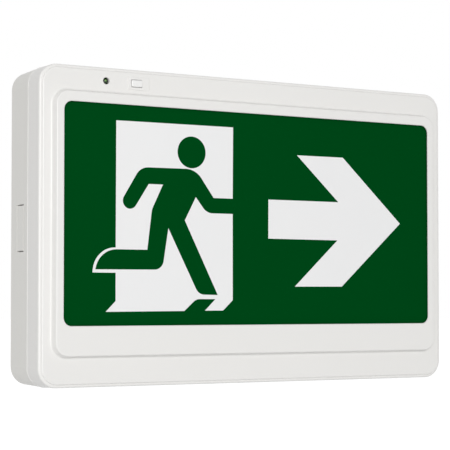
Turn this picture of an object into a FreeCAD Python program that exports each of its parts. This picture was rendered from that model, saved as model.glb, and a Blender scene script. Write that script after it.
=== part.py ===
"""Emergency exit light: a parametric FreeCAD model, in millimetres.

The origin is the centre of the back of the housing, where the supply cable comes through the
wall. +X is to the right as a person reads the sign, +Z is up, and the sign faces -Y. A depth is
a distance in front of the wall, so a depth of 10 lies at Y = -10.
"""
import FreeCAD, Part
import os
import re

import Sketcher

Vector = FreeCAD.Vector

# Driving sizes: alias, value, what it is.
SIZES = (
    ("body_width", 310, "housing, left to right"),
    ("body_height", 203, "housing, bottom to top"),
    ("face_depth", 48, "front face of the cover, from the wall"),
    ("corner_radius", 12.5, "housing corners, seen from the front"),
    ("parting_depth", 28.6, "front edge of the back box"),
    ("parting_gap", 0.4, "joint between back box and front cover"),
    ("draft_angle", 0.8, "lean of the outer sides away from the joint, in degrees"),
    ("box_wall", 2.5, "wall of the back box"),
    ("cover_wall", 2.2, "wall of the front cover"),
    ("back_edge_bevel", 0.8, "outer edge of the back wall"),
    ("rim_edge_radius", 1.3, "outer edge of the cover's rim"),
    ("rim_ledge", 1.9, "width of the rim, up to the raised face"),
    ("rim_step", 1.1, "height of the raised face above the rim"),
    ("bezel_side_margin", 8.4, "from the housing's ends to the bezel's foot"),
    ("bezel_top_margin", 16.1, "from the housing's top to the bezel's foot"),
    ("bezel_bottom_margin", 18.8, "from the housing's bottom to the bezel's foot"),
    ("bezel_radius", 9.5, "bezel corners at its foot"),
    ("bezel_rise", 5, "bezel in front of the face"),
    ("bezel_slope_angle", 15, "lean of the bezel's flanks, in degrees"),
    ("bezel_edge_radius", 0.8, "outer edge of the bezel"),
    ("bezel_foot_radius", 1.2, "hollow round the bezel's foot"),
    ("bezel_side_wall", 3.2, "bezel wall at its foot"),
    ("window_side_margin", 6.3, "from the bezel's foot to the window"),
    ("window_top_margin", 7.7, "from the bezel's foot to the window"),
    ("window_bottom_margin", 20, "from the bezel's foot to the window"),
    ("window_radius", 5.4, "window corners"),
    ("window_edge_bevel", 0.35, "front edge of the window"),
    ("lip_gap", 1.2, "between the window's lip and the legend"),
    ("lip_width", 2, "lip that stands clear of the legend"),
    ("legend_thickness", 3, "green legend panel"),
    ("diffuser_thickness", 2, "opal sheet behind the legend"),
    ("sheet_gap", 0.5, "round the legend and diffuser, and the boards"),
    ("lamp_end_margin", 45.5, "from the housing's left end to the status lamp"),
    ("lamp_top_margin", 8.9, "from the housing's top to the status lamp"),
    ("lamp_hole_radius", 2.25, "hole in the cover"),
    ("lamp_radius", 1.8, "lens of the status lamp"),
    ("lamp_sink", 0.6, "tip of the lamp behind the face"),
    ("lamp_length", 5.3, "lens and flange of the lamp"),
    ("pad_end_margin", 68.2, "from the housing's left end to the button's pad"),
    ("pad_top_margin", 9.3, "from the housing's top to the button's pad"),
    ("pad_width", 15.3, "raised pad round the test button"),
    ("pad_height", 8.4, "raised pad round the test button"),
    ("pad_radius", 1, "corners of the pad"),
    ("pad_rise", 0.45, "pad in front of the face"),
    ("button_shift", 1.4, "test button left of the middle of its pad"),
    ("button_width", 7.6, "test button"),
    ("button_height", 4.4, "test button"),
    ("button_proud", 0.95, "test button in front of its pad"),
    ("button_gap", 0.3, "round the button and in front of its shoulder"),
    ("button_flange", 1, "shoulder that keeps the button in"),
    ("button_length", 5, "test button, front to back"),
    ("button_travel", 1.2, "how far the button goes in"),
    ("ring_thickness", 1.4, "locating ring inside the joint"),
    ("ring_gap", 0.2, "between the ring and the cover"),
    ("ring_tongue", 2.5, "ring in front of the joint"),
    ("ring_depth", 22, "back of the ring, where the cover's hooks catch"),
    ("hook_width", 12, "hook of the cover"),
    ("hook_thickness", 1.8, "hook of the cover"),
    ("hook_barb", 0.9, "barb of a hook"),
    ("hook_head", 2.4, "length of a hook's barb"),
    ("hook_gap", 0.3, "round a hook"),
    ("hook_inset", 26, "from the housing's ends to the outer hooks"),
    ("cable_radius", 11.1, "cable entry in the back wall"),
    ("slot_spacing", 83.3, "junction box slots"),
    ("slot_length", 12, "junction box slot, end to end"),
    ("slot_radius", 2.2, "half the width of a slot"),
    ("screw_spacing_across", 230, "wall screws"),
    ("screw_spacing_up", 140, "wall screws"),
    ("screw_hole_radius", 2.25, "wall screw hole"),
    ("screw_pad_radius", 6, "pad round a wall screw"),
    ("screw_pad_rise", 2, "pad round a wall screw"),
    ("knockout_length", 28.7, "breakaway plate for a canopy"),
    ("knockout_width", 11.7, "breakaway plate, front to back"),
    ("knockout_depth", 16.6, "centre of the plate"),
    ("knockout_drop", 0.9, "end plates below centre"),
    ("knockout_slit", 0.7, "slit at each end of the plate"),
    ("knockout_score", 0.6, "score line along the plate"),
    ("rib_thickness", 1.6, "ribs of the back box"),
    ("rib_rise", 5, "ribs of the back box"),
    ("tray_wall", 1.5, "reflector tray"),
    ("tray_margin", 2, "tray's chamber past the window"),
    ("tray_flange", 3.5, "tray's flange past the bezel's hollow"),
    ("tray_radius", 6, "corners of the tray"),
    ("clip_inset", 50, "from the bezel's ends to the outer clips"),
    ("clip_width", 9, "clip that holds the tray"),
    ("clip_thickness", 1.4, "clip that holds the tray"),
    ("clip_barb", 0.8, "barb of a clip"),
    ("clip_head", 2, "length of a clip's barb"),
    ("clip_gap", 0.3, "round a clip"),
    ("board_thickness", 1.6, "circuit boards"),
    ("strip_margin", 6.5, "from the window's ends to the lamp strips"),
    ("strip_width", 8, "lamp strips"),
    ("emitter_count", 10, "lamps on a strip"),
    ("emitter_length", 3.5, "surface-mount lamp"),
    ("emitter_width", 2.8, "surface-mount lamp"),
    ("emitter_rise", 0.8, "surface-mount lamp"),
    ("panel_board_width", 52, "small board behind the face"),
    ("panel_board_height", 9.6, "small board behind the face"),
    ("panel_board_end_margin", 32, "from the housing's left end to the small board"),
    ("panel_post_spacing", 44, "its two posts"),
    ("panel_post_radius", 2.8, "its two posts"),
    ("switch_side", 7.6, "test switch"),
    ("switch_rise", 5, "test switch"),
    ("stem_radius", 1.2, "stem of the test switch"),
    ("stem_gap", 0.06, "stem in the switch"),
    ("stem_grip", 2, "stem in the button"),
    ("stem_reach", 1.8, "stem in the switch, at rest"),
    ("driver_width", 90, "main board"),
    ("driver_height", 68, "main board"),
    ("driver_end_margin", 13, "from the housing's right end to the main board"),
    ("driver_lift", 5, "main board above centre"),
    ("post_rise", 6, "posts of the main board"),
    ("post_radius", 3.5, "posts of the main board"),
    ("post_inset", 5, "posts from the board's edges"),
    ("component_rise", 15, "tallest component of the main board"),
    ("component_gap", 1.4, "from the tallest component to the reflector tray"),
    ("screw_head_radius", 2.6, "small screws"),
    ("screw_head_rise", 1.6, "small screws"),
    ("screw_shank_radius", 1.2, "small screws"),
    ("screw_shank_length", 6, "small screws"),
    ("cell_radius", 7.1, "battery cell"),
    ("cell_length", 50, "battery cell"),
    ("cell_gap", 0.3, "round a cell"),
    ("cell_web", 1, "cradle wall between two cells"),
    ("cell_end_margin", 38, "from the housing's left end to the cells"),
    ("cradle_floor", 1.8, "battery cradle"),
    ("cradle_wall", 1.8, "battery cradle"),
    ("strap_width", 12, "battery strap"),
    ("strap_thickness", 1.2, "battery strap"),
    ("strap_foot", 11, "foot of the battery strap"),
    ("terminal_width", 32, "mains terminal block"),
    ("terminal_height", 15, "mains terminal block"),
    ("terminal_rise", 14, "mains terminal block"),
    ("terminal_drop", 54, "mains terminal block below centre"),
    ("terminal_pitch", 10, "between terminals"),
    ("grommet_bore", 3, "radius of the wire grommet's bore"),
    ("grommet_left", 60, "wire grommet, left of centre"),
    ("grommet_rise", 17, "wire grommet above the window's bottom edge"),
    ("grommet_neck", 5.2, "radius of the grommet in the tray's hole"),
    ("grommet_lip", 6.4, "radius of the grommet's lips"),
    ("grommet_lip_rise", 1.1, "lips of the grommet"),
    ("moving_gap", 0.4, "past the stem's end, with the button pressed"),
    ("screw_gap", 0.1, "round a screw in a board or strap"),
    ("lamp_flange", 0.4, "flange of the status lamp"),
    ("core_width", 22, "transformer core"),
    ("core_height", 7, "transformer core"),
    ("core_leg", 3, "back and front of the core"),
    ("core_gap", 5.6, "windows of the core"),
    ("core_gap_place", 6.4, "windows of the core, from its middle"),
    ("bobbin_width", 24, "foot of the bobbin"),
    ("bobbin_height", 18, "foot of the bobbin"),
    ("bobbin_foot", 2, "foot of the bobbin"),
    ("winding_width", 17.6, "winding"),
    ("winding_height", 16, "winding"),
    ("winding_start", 5.3, "winding in front of the board"),
    ("core_play", 0.2, "core in the bobbin"),
    ("can_groove", 0.5, "rolled groove of a capacitor"),
    ("mains_can_radius", 5, "mains capacitor"),
    ("mains_can_length", 14.5, "mains capacitor"),
    ("output_can_radius", 3.15, "output capacitors"),
    ("output_can_length", 11, "output capacitors"),
    ("chip_length", 9.4, "control chip"),
    ("chip_width", 6.4, "control chip"),
    ("chip_rise", 3.4, "control chip"),
    ("transistor_width", 4.6, "power transistor"),
    ("transistor_height", 10, "power transistor"),
    ("header_width", 6, "wire header"),
    ("header_height", 7.6, "wire header"),
    ("header_rise", 7, "wire header"),
    ("header_wall", 0.8, "wire header"),
    ("header_floor", 1.5, "wire header"),
    ("header_pin", 0.7, "pin of a header"),
    ("header_pitch", 2.5, "between the pins of a header"),
    ("fuse_length", 20, "glass fuse"),
    ("fuse_radius", 2.6, "end cap of the fuse"),
    ("fuse_cap", 4.5, "end cap of the fuse"),
    ("fuse_glass", 2.3, "radius of the fuse's glass"),
    ("fuse_rise", 4, "middle of the fuse in front of the board"),
    ("fuse_clip_width", 3.6, "fuse clip"),
    ("fuse_clip_rise", 6, "fuse clip"),
    ("fuse_clip_foot", 1.2, "fuse clip"),
    ("fuse_clip_wall", 0.6, "fuse clip"),
    ("fuse_clip_place", 8, "fuse clips, from the fuse's middle"),
    ("terminal_well", 4, "depth of a screw well"),
    ("terminal_well_radius", 2.9, "screw well"),
    ("terminal_screw_radius", 2.6, "clamp screw"),
    ("terminal_screw_rise", 2.4, "clamp screw"),
    ("terminal_mouth_radius", 2.2, "wire mouth"),
    ("terminal_mouth_length", 7, "wire mouth"),
    ("terminal_mouth_depth", 4.5, "wire mouth in front of the block's back"),
    ("terminal_groove", 0.8, "groove between two clamps"),
    ("cell_tip_radius", 2.6, "button of a cell"),
    ("cell_tip", 1.4, "button of a cell"),
)

# Components of the main board: place right of and above the board's centre.
PLACES = {
    "transformer": (6, 6),
    "control_chip": (-8, -14),
    "power_transistor": (36, 8),
    "battery_header": (-38, -2),
    "lamp_header": (-38, 12),
    "fuse": (20, 26),
    "mains_capacitor": (28, -16),
    "output_capacitor_1": (-17, 20),
    "output_capacitor_2": (-17, 11),
}

# Sizes that follow from the driving sizes: alias and formula.
DERIVED = (
    ("bezel_width", "body_width - 2 * bezel_side_margin"),
    ("bezel_height", "body_height - bezel_top_margin - bezel_bottom_margin"),
    ("bezel_lift", "(bezel_bottom_margin - bezel_top_margin) / 2"),
    ("window_width", "bezel_width - 2 * window_side_margin"),
    ("window_height", "bezel_height - window_top_margin - window_bottom_margin"),
    ("window_lift", "bezel_lift + (window_bottom_margin - window_top_margin) / 2"),
    ("cover_start", "parting_depth + parting_gap"),
    ("rim_depth", "face_depth - rim_step"),
    ("inner_depth", "face_depth - cover_wall"),
    ("box_lean", "parting_depth * tan(draft_angle)"),
    ("rim_lean", "(rim_depth - cover_start) * tan(draft_angle)"),
    ("bezel_back", "face_depth + bezel_rise - cover_wall"),
    ("diffuser_front", "bezel_back - legend_thickness"),
    ("tray_front", "min(inner_depth; diffuser_front - diffuser_thickness)"),
    ("board_front", "box_wall + post_rise + board_thickness"),
    ("tray_back", "board_front + component_rise + component_gap"),
    ("strip_depth", "(tray_back + tray_wall + tray_front) / 2"),
    ("strip_length", "window_width - 2 * strip_margin"),
    ("grommet_drop", "window_height / 2 - window_lift - grommet_rise"),
    ("lamp_left", "body_width / 2 - lamp_end_margin"),
    ("lamp_lift", "body_height / 2 - lamp_top_margin"),
    ("pad_left", "body_width / 2 - pad_end_margin"),
    ("pad_lift", "body_height / 2 - pad_top_margin"),
    ("pad_depth", "face_depth + pad_rise"),
    ("button_left", "pad_left + button_shift"),
    ("button_back", "pad_depth + button_proud - button_length"),
    ("panel_board_front", "button_back - button_travel - button_gap - switch_rise"),
    ("panel_board_left", "body_width / 2 - panel_board_end_margin - panel_board_width / 2"),
    ("panel_board_lift", "pad_lift"),
    ("lamp_base", "face_depth - lamp_sink - lamp_length"),
    ("driver_right", "body_width / 2 - driver_end_margin - driver_width / 2"),
    ("cell_left", "body_width / 2 - cell_end_margin - cell_length / 2"),
    ("cell_pitch", "2 * (cell_radius + cell_gap) + cell_web"),
    ("cell_depth", "box_wall + cradle_floor + cell_radius + cell_gap"),
    ("cradle_height", "3 * cell_pitch + 2 * cradle_wall"),
    ("strap_side", "cradle_height / 2 + cell_gap"),
    ("strap_hole_lift", "strap_side + strap_thickness + strap_foot / 2"),
)

CLOSE = 0.05
CELL_LIFTS = ("-cell_pitch", "0", "cell_pitch")
STRAP_HOLE_LIFTS = ("strap_hole_lift", "-strap_hole_lift")
SUBPARTS = []
DERIVED_WORDS = {alias for alias, _ in DERIVED}
doc = FreeCAD.newDocument("ExitLight")


# ---------------------------------------------------------------- sheets and formulas

def reference(word):
    """Give the full name of a size: 'Sizes.body_width' for body_width."""
    if word in ("min", "tan"):
        return word
    return ("Derived." if word in DERIVED_WORDS else "Sizes.") + word


def formula(text):
    """Turn the plain words of a formula into the full names of their sizes."""
    return re.sub(r"[a-z][a-z_]*", lambda word: reference(word.group(0)), text)


def make_sheets_of_sizes():
    """Make the sheet of driving sizes, the sheet of sizes that follow, and the probe that reads formulas."""
    sizes = doc.addObject("Spreadsheet::Sheet", "Sizes")
    for row, (alias, value, note) in enumerate(SIZES, start=1):
        sizes.set(f"A{row}", str(value))
        sizes.setAlias(f"A{row}", alias)
        sizes.set(f"B{row}", note)
    derived = doc.addObject("Spreadsheet::Sheet", "Derived")
    for row, (alias, text) in enumerate(DERIVED, start=1):
        derived.setAlias(f"A{row}", alias)
    for row, (alias, text) in enumerate(DERIVED, start=1):
        derived.set(f"A{row}", "=" + formula(text).replace("Derived.", ""))
    item = doc.addObject("App::FeaturePython", "Probe")
    item.addProperty("App::PropertyFloat", "Value")
    doc.recompute()
    return item


probe = make_sheets_of_sizes()


# ---------------------------------------------------------------- sketches


def number(text):
    """Return what a formula gives with the sheet as it stands."""
    probe.setExpression("Value", formula(text))
    probe.recompute()
    return probe.Value


def total(*terms):
    """Add formulas."""
    return " + ".join(f"({term})" for term in terms)


def less(first, *terms):
    """Take formulas from a first one."""
    return f"({first}) - " + " - ".join(f"({term})" for term in terms)


def bind(item, **properties):
    """Bind properties of an object to formulas. A double underscore stands for a dot."""
    for name, text in properties.items():
        item.setExpression(name.replace("__", "."), formula(text))


def place(item, x="0", depth="0", z="0"):
    """Put a sub-part at a place given by formulas."""
    bind(item, Placement__Base__x=x, Placement__Base__y=f"-({depth})", Placement__Base__z=z)


def body(label, x="0", depth="0", z="0"):
    """Start a sub-part that is one solid made by features."""
    item = doc.addObject("PartDesign::Body", label)
    item.Label = label
    place(item, x, depth, z)
    SUBPARTS.append(item)
    return item


def sketch(owner, plane, name, outline, x="0", y="0", offset="0"):
    """Draw an outline on one of a body's own planes, shifted in the plane and off it."""
    item = owner.newObject("Sketcher::SketchObject", name)
    support = next(one for one in owner.Origin.OriginFeatures if one.Role == plane)
    item.AttachmentSupport = [(support, "")]
    item.MapMode = "FlatFace"
    bind(item, AttachmentOffset__Base__x=x, AttachmentOffset__Base__y=y, AttachmentOffset__Base__z=offset)
    outline(item)
    return item


def fix(item, text, kind, *where):
    """Add a constraint whose size is a formula."""
    index = item.addConstraint(Sketcher.Constraint(kind, *where, number(text)))
    item.setExpression(f"Constraints[{index}]", formula(text))


def rounded(width, height, radius):
    """Outline: a rectangle with rounded corners, centred on the sketch's origin."""
    def draw(item):
        right, top, bend = number(width) / 2, number(height) / 2, number(radius)
        inner_x, inner_y = right - bend, top - bend
        quarter = FreeCAD.Units.Quantity("90 deg").getValueAs("rad").Value
        lines = [((-inner_x, -top), (inner_x, -top)), ((right, -inner_y), (right, inner_y)),
                 ((inner_x, top), (-inner_x, top)), ((-right, inner_y), (-right, -inner_y))]
        for (ax, ay), (bx, by) in lines:
            item.addGeometry(Part.LineSegment(Vector(ax, ay), Vector(bx, by)))
        corners = [(inner_x, -inner_y), (inner_x, inner_y), (-inner_x, inner_y), (-inner_x, -inner_y)]
        for index, (cx, cy) in enumerate(corners):
            circle = Part.Circle(Vector(cx, cy), Vector(0, 0, 1), bend)
            item.addGeometry(Part.ArcOfCircle(circle, (index - 1) * quarter, index * quarter))
        for index in range(4):
            arc, following = 4 + index, (index + 1) % 4
            item.addConstraint(Sketcher.Constraint("Tangent", index, 2, arc, 1))
            item.addConstraint(Sketcher.Constraint("Tangent", arc, 2, following, 1))
            item.addConstraint(Sketcher.Constraint(("Horizontal", "Vertical")[index % 2], index))
        for arc in (5, 6, 7):
            item.addConstraint(Sketcher.Constraint("Equal", 4, arc))
        item.addConstraint(Sketcher.Constraint("Symmetric", 0, 1, 2, 1, -1, 1))
        fix(item, radius, "Radius", 4)
        fix(item, width, "DistanceX", 3, 1, 1, 1)
        fix(item, height, "DistanceY", 0, 1, 2, 1)
    return draw


def block(width, height):
    """Outline: a rectangle with sharp corners, centred on the sketch's origin."""
    right, top = f"({width}) / 2", f"({height}) / 2"
    return polygon((f"-{right}", f"-{top}"), (right, f"-{top}"), (right, top), (f"-{right}", top))


def disc(radius):
    """Outline: a circle round the sketch's origin."""
    def draw(item):
        item.addGeometry(Part.Circle(Vector(0, 0), Vector(0, 0, 1), number(radius)))
        item.addConstraint(Sketcher.Constraint("Coincident", 0, 3, -1, 1))
        fix(item, radius, "Radius", 0)
    return draw


def slot(length, radius):
    """Outline: a horizontal slot with round ends."""
    def draw(item):
        bend = number(radius)
        reach = number(length) / 2 - bend
        quarter = FreeCAD.Units.Quantity("90 deg").getValueAs("rad").Value
        item.addGeometry(Part.LineSegment(Vector(-reach, -bend), Vector(reach, -bend)))
        item.addGeometry(Part.LineSegment(Vector(reach, bend), Vector(-reach, bend)))
        right = Part.Circle(Vector(reach, 0), Vector(0, 0, 1), bend)
        left = Part.Circle(Vector(-reach, 0), Vector(0, 0, 1), bend)
        item.addGeometry(Part.ArcOfCircle(right, -quarter, quarter))
        item.addGeometry(Part.ArcOfCircle(left, quarter, 3 * quarter))
        for pair in ((0, 2, 2, 1), (2, 2, 1, 1), (1, 2, 3, 1), (3, 2, 0, 1)):
            item.addConstraint(Sketcher.Constraint("Tangent", *pair))
        item.addConstraint(Sketcher.Constraint("Horizontal", 0))
        item.addConstraint(Sketcher.Constraint("Equal", 2, 3))
        item.addConstraint(Sketcher.Constraint("Symmetric", 0, 1, 1, 1, -1, 1))
        fix(item, radius, "Radius", 2)
        fix(item, less(length, f"2 * ({radius})"), "DistanceX", 0, 1, 0, 2)
    return draw


def polygon(*corners):
    """Outline: straight lines through corners given as pairs of formulas."""
    def draw(item):
        points = [Vector(number(x), number(y)) for x, y in corners]
        count = len(points)
        for index, point in enumerate(points):
            item.addGeometry(Part.LineSegment(point, points[(index + 1) % count]))
        for index in range(count):
            item.addConstraint(Sketcher.Constraint("Coincident", index, 2, (index + 1) % count, 1))
        for index, (x, y) in enumerate(corners):
            fix(item, x, "DistanceX", -1, 1, index, 1)
            fix(item, y, "DistanceY", -1, 1, index, 1)
    return draw


# ---------------------------------------------------------------- features

def slab(owner, name, outline, start, end, x="0", z="0"):
    """Add material between two depths."""
    item = owner.newObject("PartDesign::Pad", name)
    item.Profile = sketch(owner, "XZ_Plane", name + "Outline", outline, x, z, start)
    bind(item, Length=less(end, start))
    return item


def hollow(owner, name, outline, start, end, x="0", z="0"):
    """Take material away between two depths."""
    item = owner.newObject("PartDesign::Pocket", name)
    item.Profile = sketch(owner, "XZ_Plane", name + "Outline", outline, x, z, end)
    bind(item, Length=less(end, start))
    return item


def bar(owner, name, outline, width, x="0"):
    """Add material by drawing its section across X, centred on a place along X."""
    item = owner.newObject("PartDesign::Pad", name)
    item.Profile = sketch(owner, "YZ_Plane", name + "Outline", outline, offset=x)
    item.Midplane = True
    bind(item, Length=width)
    return item


def turned(owner, name, outline):
    """Add material by turning a section round the body's own Y axis."""
    item = owner.newObject("PartDesign::Revolution", name)
    item.Profile = sketch(owner, "XY_Plane", name + "Outline", outline)
    item.ReferenceAxis = (item.Profile[0], ["V_Axis"])
    item.Angle = 360
    return item


def edges(feature, wanted):
    """Name the edges of a feature's shape that a test picks."""
    doc.recompute()
    return [f"Edge{index}" for index, edge in enumerate(feature.Shape.Edges, start=1) if wanted(edge)]


def at_depth(depth, width="body_width", height="body_height", lift="0"):
    """Test for edges that lie flat at one depth, inside a rectangle centred at a lift."""
    level, side, top, middle = number(depth), number(width) / 2, number(height) / 2, number(lift)

    def wanted(edge):
        box = edge.BoundBox
        flat = abs(box.YMin + level) < CLOSE and abs(box.YMax + level) < CLOSE
        beside = max(-box.XMin, box.XMax) < side + CLOSE
        return flat and beside and max(middle - box.ZMin, box.ZMax - middle) < top + CLOSE
    return wanted


def fillet(owner, name, feature, radius, wanted):
    """Round the edges of a feature that a test picks."""
    item = owner.newObject("PartDesign::Fillet", name)
    item.Base = (feature, edges(feature, wanted))
    bind(item, Radius=radius)
    doc.recompute()


def chamfer(owner, name, feature, size, wanted):
    """Bevel the edges of a feature that a test picks."""
    item = owner.newObject("PartDesign::Chamfer", name)
    item.Base = (feature, edges(feature, wanted))
    bind(item, Size=size)
    doc.recompute()


def solid_box(label, width, rise, height, x, depth, z):
    """Make a plain block between a depth and that depth plus its rise, centred on x and z."""
    item = doc.addObject("Part::Box", label)
    item.Label = label
    bind(item, Length=width, Width=rise, Height=height)
    place(item, less(x, f"({width}) / 2"), total(depth, rise), less(z, f"({height}) / 2"))
    return item


def solid_pin(label, radius, length, x, depth, z):
    """Make a plain round pin from a depth towards the front."""
    item = doc.addObject("Part::Cylinder", label)
    item.Label = label
    bind(item, Radius=radius, Height=length)
    item.Placement.Rotation = FreeCAD.Rotation(Vector(1, 0, 0), 90)
    place(item, x, depth, z)
    return item


def group(label, members):
    """Collect separate solids that share one sub-part."""
    item = doc.addObject("Part::Compound", label)
    item.Label = label
    item.Links = members
    SUBPARTS.append(item)
    return item


def screws(label, places, seat, forward=True):
    """Make small pan-head screws: heads on a depth, shanks towards the wall or, if not forward, the face."""
    members = []
    for index, (x, z) in enumerate(places, start=1):
        head_start = seat if forward else less(seat, "screw_head_rise")
        shank_start = less(seat, "screw_shank_length") if forward else seat
        head = solid_pin(f"{label}_head_{index}", "screw_head_radius", "screw_head_rise", x, head_start, z)
        shank = solid_pin(f"{label}_shank_{index}", "screw_shank_radius", "screw_shank_length", x,
                          shank_start, z)
        screw = doc.addObject("Part::Fuse", f"{label}_{index}")
        screw.Base = head
        screw.Tool = shank
        members.append(screw)
    return group(label, members)


# ---------------------------------------------------------------- housing

def offset_outline(inset):
    """Outline of the housing, drawn in by an amount."""
    return rounded(less("body_width", f"2 * ({inset})"), less("body_height", f"2 * ({inset})"),
                   less("corner_radius", inset))


def make_back_box():
    """Back box: an open tray with a locating ring, posts, ribs, fixing holes and breakaway plates."""
    box = body("back_box")
    shell = slab(box, "Shell", offset_outline("box_lean"), "0", "parting_depth")
    bind(shell, TaperAngle="draft_angle")
    chamfer(box, "BackEdge", shell, "back_edge_bevel", at_depth("0"))
    hollow(box, "Inside", offset_outline("box_wall"), "box_wall", "parting_depth")
    ring_outer = "cover_wall + ring_gap"
    slab(box, "Ring", offset_outline(ring_outer), "ring_depth", "parting_depth + ring_tongue")
    hollow(box, "RingInside", offset_outline(f"{ring_outer} + ring_thickness"), "ring_depth",
           "parting_depth + ring_tongue")
    rib = block(less("body_width", "2 * box_wall", "1"), "rib_thickness")
    for index, lift in enumerate(("body_height / 2 - 3 * rib_rise", "3 * rib_rise - body_height / 2")):
        slab(box, f"LongRib{index}", rib, "box_wall", "box_wall + rib_rise", z=lift)
    make_fixings(box)
    reach = corners("driver_width / 2 - post_inset", "driver_height / 2 - post_inset")
    posts = [(total("driver_right", side), total("driver_lift", lift)) for side, lift in reach]
    posts += [("-cell_left", lift) for lift in STRAP_HOLE_LIFTS]
    top = "box_wall + post_rise"
    for index, (x, z) in enumerate(posts):
        slab(box, f"Post{index}", disc("post_radius"), "box_wall", top, x, z)
        hollow(box, f"PostBore{index}", disc("screw_shank_radius"), "box_wall", top, x, z)
    make_breakaway_plates(box)
    return box


def corners(reach_x, reach_z):
    """Give the four corners of a rectangle as pairs of formulas."""
    return [(f"{sx} * ({reach_x})", f"{sz} * ({reach_z})") for sx in (-1, 1) for sz in (-1, 1)]


def make_fixings(box):
    """Cut the cable entry, junction box slots and wall screw holes in the back wall."""
    hollow(box, "CableEntry", disc("cable_radius"), "0", "box_wall")
    for index, sign in enumerate((-1, 1)):
        hollow(box, f"BoxSlot{index}", slot("slot_length", "slot_radius"), "0", "box_wall",
               f"{sign} * slot_spacing / 2")
    for index, (x, z) in enumerate(corners("screw_spacing_across / 2", "screw_spacing_up / 2")):
        slab(box, f"ScrewPad{index}", disc("screw_pad_radius"), "box_wall", "box_wall + screw_pad_rise", x, z)
        hollow(box, f"ScrewHole{index}", disc("screw_hole_radius"), "0", "box_wall + screw_pad_rise", x, z)


def make_breakaway_plates(box):
    """Outline a breakaway canopy plate in each end and in the top: a slit at each end, scores between."""
    faces = (("Left", "YZ_Plane", "-body_width / 2", 1), ("Right", "YZ_Plane", "body_width / 2", -1),
             ("Top", "XY_Plane", "body_height / 2", -1))
    for name, plane, level, inward in faces:
        drop = "knockout_drop" if plane == "YZ_Plane" else "0"
        for sign in (-1, 1):
            mark = "A" if sign < 0 else "B"
            along = f"{sign} * (knockout_length + knockout_slit) / 2 - {drop}"
            beside = f"{sign} * (knockout_width - knockout_score) / 2 - knockout_depth"
            length = "knockout_length + knockout_slit"
            if plane == "YZ_Plane":
                slit, slit_x, slit_y = block("knockout_width", "knockout_slit"), "-knockout_depth", along
                score, score_x, score_y = block("knockout_score", length), beside, f"-{drop}"
            else:
                slit, slit_x, slit_y = block("knockout_slit", "knockout_width"), along, "-knockout_depth"
                score, score_x, score_y = block(length, "knockout_score"), "0", beside
            for kind, outline, x, y, cut in (("Slit", slit, slit_x, slit_y, "box_wall"),
                                             ("Score", score, score_x, score_y, "knockout_score")):
                item = box.newObject("PartDesign::Pocket", name + kind + mark)
                item.Profile = sketch(box, plane, name + kind + mark + "Outline", outline, x, y, level)
                item.Reversed = inward > 0
                bind(item, Length=cut)


def make_front_cover():
    """Front cover: a stepped rim, a hollow raised bezel round the window, a button pad and hooks."""
    cover = body("front_cover")
    shell = slab(cover, "Shell", offset_outline("0"), "cover_start", "rim_depth")
    bind(shell, TaperAngle="-draft_angle")
    fillet(cover, "RimEdge", shell, "rim_edge_radius", at_depth("rim_depth"))
    face = slab(cover, "Face", offset_outline("rim_lean + rim_ledge"), "rim_depth", "face_depth")
    fillet(cover, "FaceEdge", face, "rim_step * 0.9", at_depth("face_depth"))
    bezel = slab(cover, "Bezel", rounded("bezel_width", "bezel_height", "bezel_radius"), "face_depth",
                 "face_depth + bezel_rise", z="bezel_lift")
    bind(bezel, TaperAngle="-bezel_slope_angle")
    fillet(cover, "BezelEdge", bezel, "bezel_edge_radius", at_depth("face_depth + bezel_rise"))
    foot = at_depth("face_depth", "bezel_width", "bezel_height", "bezel_lift")
    fillet(cover, "BezelFoot", cover.Tip, "bezel_foot_radius", foot)
    hollow(cover, "Inside", offset_outline("cover_wall"), "cover_start", "inner_depth")
    hollow(cover, "BezelInside", bezel_hollow("0"), "inner_depth", "bezel_back", z="bezel_lift")
    relief = rounded("window_width + 2 * lip_width", "window_height + 2 * lip_width",
                     "window_radius + lip_width")
    hollow(cover, "LipRelief", relief, "bezel_back", "bezel_back + lip_gap", z="window_lift")
    window = hollow(cover, "Window", rounded("window_width", "window_height", "window_radius"),
                    "bezel_back + lip_gap", "face_depth + bezel_rise", z="window_lift")
    rim = at_depth("face_depth + bezel_rise", "window_width", "window_height", "window_lift")
    chamfer(cover, "WindowEdge", window, "window_edge_bevel", rim)
    lamp_hole = disc("lamp_hole_radius")
    hollow(cover, "LampHole", lamp_hole, "inner_depth", "face_depth", "-lamp_left", "lamp_lift")
    make_button_pad(cover)
    make_cover_hooks(cover)
    make_tray_clips(cover)
    start, lift = "panel_board_front", "panel_board_lift"
    for index, sign in enumerate((-1, 1)):
        x = f"{sign} * panel_post_spacing / 2 - panel_board_left"
        slab(cover, f"PanelPost{index}", disc("panel_post_radius"), start, "inner_depth", x, lift)
        hollow(cover, f"PanelBore{index}", disc("screw_shank_radius"), start,
               total(start, "screw_shank_length"), x, lift)
    return cover


def bezel_hollow(gap):
    """Outline of the bezel's hollow, drawn in by a gap."""
    inset = f"bezel_side_wall + {gap}"
    return rounded(less("bezel_width", f"2 * ({inset})"), less("bezel_height", f"2 * ({inset})"),
                   less("bezel_radius", inset))


def make_button_pad(cover):
    """Raise a low pad on the face round the test button, and cut the button's hole through it."""
    outline = rounded("pad_width", "pad_height", "pad_radius")
    pad = slab(cover, "Pad", outline, "face_depth", "pad_depth", "-pad_left", "pad_lift")
    chamfer(cover, "PadEdge", pad, "pad_rise / 2", at_depth("pad_depth"))
    hole = rounded("button_width + 2 * button_gap", "button_height + 2 * button_gap", "pad_radius")
    hollow(cover, "ButtonHole", hole, "inner_depth", "pad_depth", "-button_left", "pad_lift")


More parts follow.
